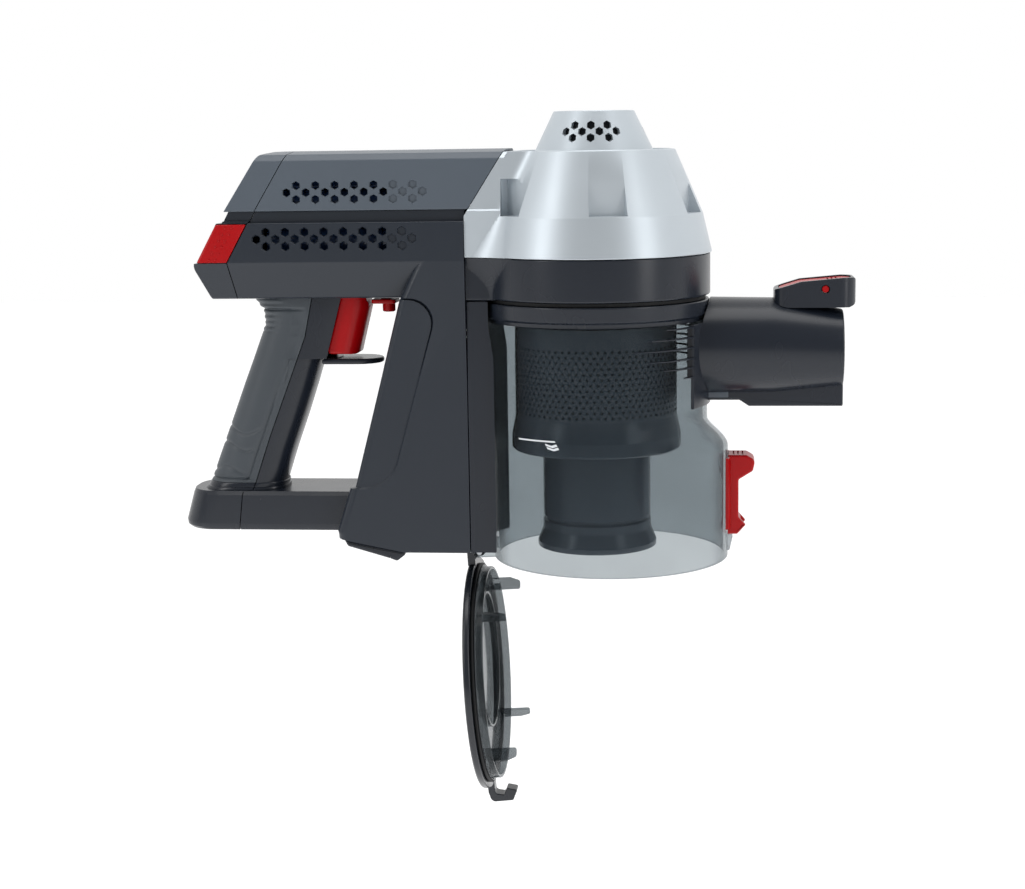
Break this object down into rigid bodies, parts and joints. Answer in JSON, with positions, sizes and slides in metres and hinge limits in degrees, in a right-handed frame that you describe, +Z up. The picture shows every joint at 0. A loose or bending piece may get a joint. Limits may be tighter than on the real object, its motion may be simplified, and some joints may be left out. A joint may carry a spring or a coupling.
{
  "type": "handheld vacuum",
  "caption": "Cordless handheld vacuum with pistol grip, slide-out battery pack, clear cyclone cup with hinged bottom door, inlet nozzle and silver motor dome.",
  "frame": {"origin": "centre of the pistol grip, in the palm, where a hand holds it", "axes": "+X points forward along the inlet nozzle, +Z is up along the cyclone and motor axis, +Y is the object's left side when looking along +X"},
  "size_m": [0.3677, 0.129, 0.3841],
  "materials": {
    "shell": "satin dark blue-grey moulded ABS",
    "cover": "satin slate-grey moulded ABS",
    "silver": "fine metallic silver paint on ABS",
    "red": "glossy red moulded ABS",
    "rubber": "soft-touch overmoulded grip",
    "smoke": "smoked clear polycarbonate",
    "separator": "dark satin plastic with a perforated screen",
    "door": "dark smoked polycarbonate",
    "seal": "black silicone",
    "steel": "plated steel",
    "cell": "blue shrink sleeve",
    "board": "green solder mask",
    "foam": "open-cell foam",
    "filter": "pleated filter paper",
    "motor": "plain metal can",
    "inner": "plain black moulding"
  },
  "bodies": {
    "root": {"body_shell_left": "shell", "body_shell_right": "shell", "body_screw_1": "steel", "body_screw_2": "steel", "body_screw_3": "steel", "top_cover": "cover", "dock_frame": "shell", "pillar_foot": "shell", "motor_housing": "shell", "dome_cover": "silver", "motor_mount": "inner", "fan_diffuser": "inner", "motor_can": "motor", "contact_block": "inner", "control_board": "board", "handle_front_shell": "shell", "handle_rear_shell": "shell", "grip_overmold": "rubber", "finger_guard": "shell", "trigger_pin": "steel", "trigger_spring": "steel", "trigger_switch": "inner", "bin_release_spring": "steel"},
    "trigger": {"trigger": "red"},
    "bin_release": {"bin_release_button": "red"},
    "rotor": {"motor_shaft": "steel", "impeller": "inner"},
    "exhaust_cap": {"exhaust_cap": "silver", "exhaust_filter": "filter"},
    "battery_pack": {"battery_end_cap": "cover", "charge_socket": "inner", "battery_tray": "inner", "battery_cell_1": "cell", "battery_cell_2": "cell", "battery_cell_3": "cell", "battery_cell_4": "cell", "battery_cell_5": "cell", "battery_cell_6": "cell", "battery_board": "board", "battery_terminals": "steel"},
    "battery_button_left": {"battery_button_left": "red"},
    "battery_button_right": {"battery_button_right": "red"},
    "dust_cup": {"dust_cup": "smoke", "separator_collar": "shell", "collar_seal": "seal", "shroud": "separator", "separator_tube": "separator", "vortex_finder": "separator", "pre_filter_foam": "foam", "hepa_filter": "filter", "door_hinge_pin": "steel", "inlet_nozzle": "shell", "nozzle_button_housing": "shell"},
    "nozzle_button": {"nozzle_button": "red"},
    "door_latch": {"door_latch": "red"},
    "bin_door": {"bin_door": "door", "door_seal": "seal"}
  },
  "joints": [
    {"name": "trigger_pull", "type": "hinge", "parent": "root", "child": "trigger", "pos_m": [0.05, 0, 0.072], "axis": [0, 1, 0], "range_deg": [0, 6], "stiffness_Nm_per_rad": 1.2, "springref_deg": -5.73},
    {"name": "bin_release_push", "type": "slide", "parent": "root", "child": "bin_release", "axis": [0, 0, 1], "range_m": [0, 0.0017], "stiffness_N_per_m": 600, "springref_m": -0.002},
    {"name": "rotor_spin", "type": "hinge", "parent": "root", "child": "rotor", "pos_m": [0.1805, 0, 0.08], "axis": [0, 0, 1], "continuous": true},
    {"name": "exhaust_cap_twist", "type": "hinge", "parent": "root", "child": "exhaust_cap", "pos_m": [0.1805, 0, 0.14], "axis": [0, 0, 1], "range_deg": [0, 35]},
    {"name": "battery_slide", "type": "slide", "parent": "root", "child": "battery_pack", "axis": [-1, 0, 0], "range_m": [0, 0.1]},
    {"name": "battery_button_left_press", "type": "slide", "parent": "battery_pack", "child": "battery_button_left", "axis": [0, -1, 0], "range_m": [0, 0.0025], "stiffness_N_per_m": 800, "springref_m": -0.001},
    {"name": "battery_button_right_press", "type": "slide", "parent": "battery_pack", "child": "battery_button_right", "axis": [0, 1, 0], "range_m": [0, 0.0025], "stiffness_N_per_m": 800, "springref_m": -0.001},
    {"name": "dust_cup_slide", "type": "slide", "parent": "root", "child": "dust_cup", "axis": [0, 0, -1], "range_m": [0, 0.15]},
    {"name": "nozzle_button_press", "type": "hinge", "parent": "dust_cup", "child": "nozzle_button", "pos_m": [0.3028, 0, 0.0672], "axis": [0, -1, 0], "range_deg": [0, 5], "stiffness_Nm_per_rad": 0.6, "springref_deg": -5.73},
    {"name": "door_latch_slide", "type": "slide", "parent": "dust_cup", "child": "door_latch", "axis": [0, 0, -1], "range_m": [0, 0.005], "stiffness_N_per_m": 500, "springref_m": -0.002},
    {"name": "bin_door_swing", "type": "hinge", "parent": "dust_cup", "child": "bin_door", "pos_m": [0.1165, 0, -0.0758], "axis": [0, -1, 0], "range_deg": [-12, 86.5]}
  ]
}
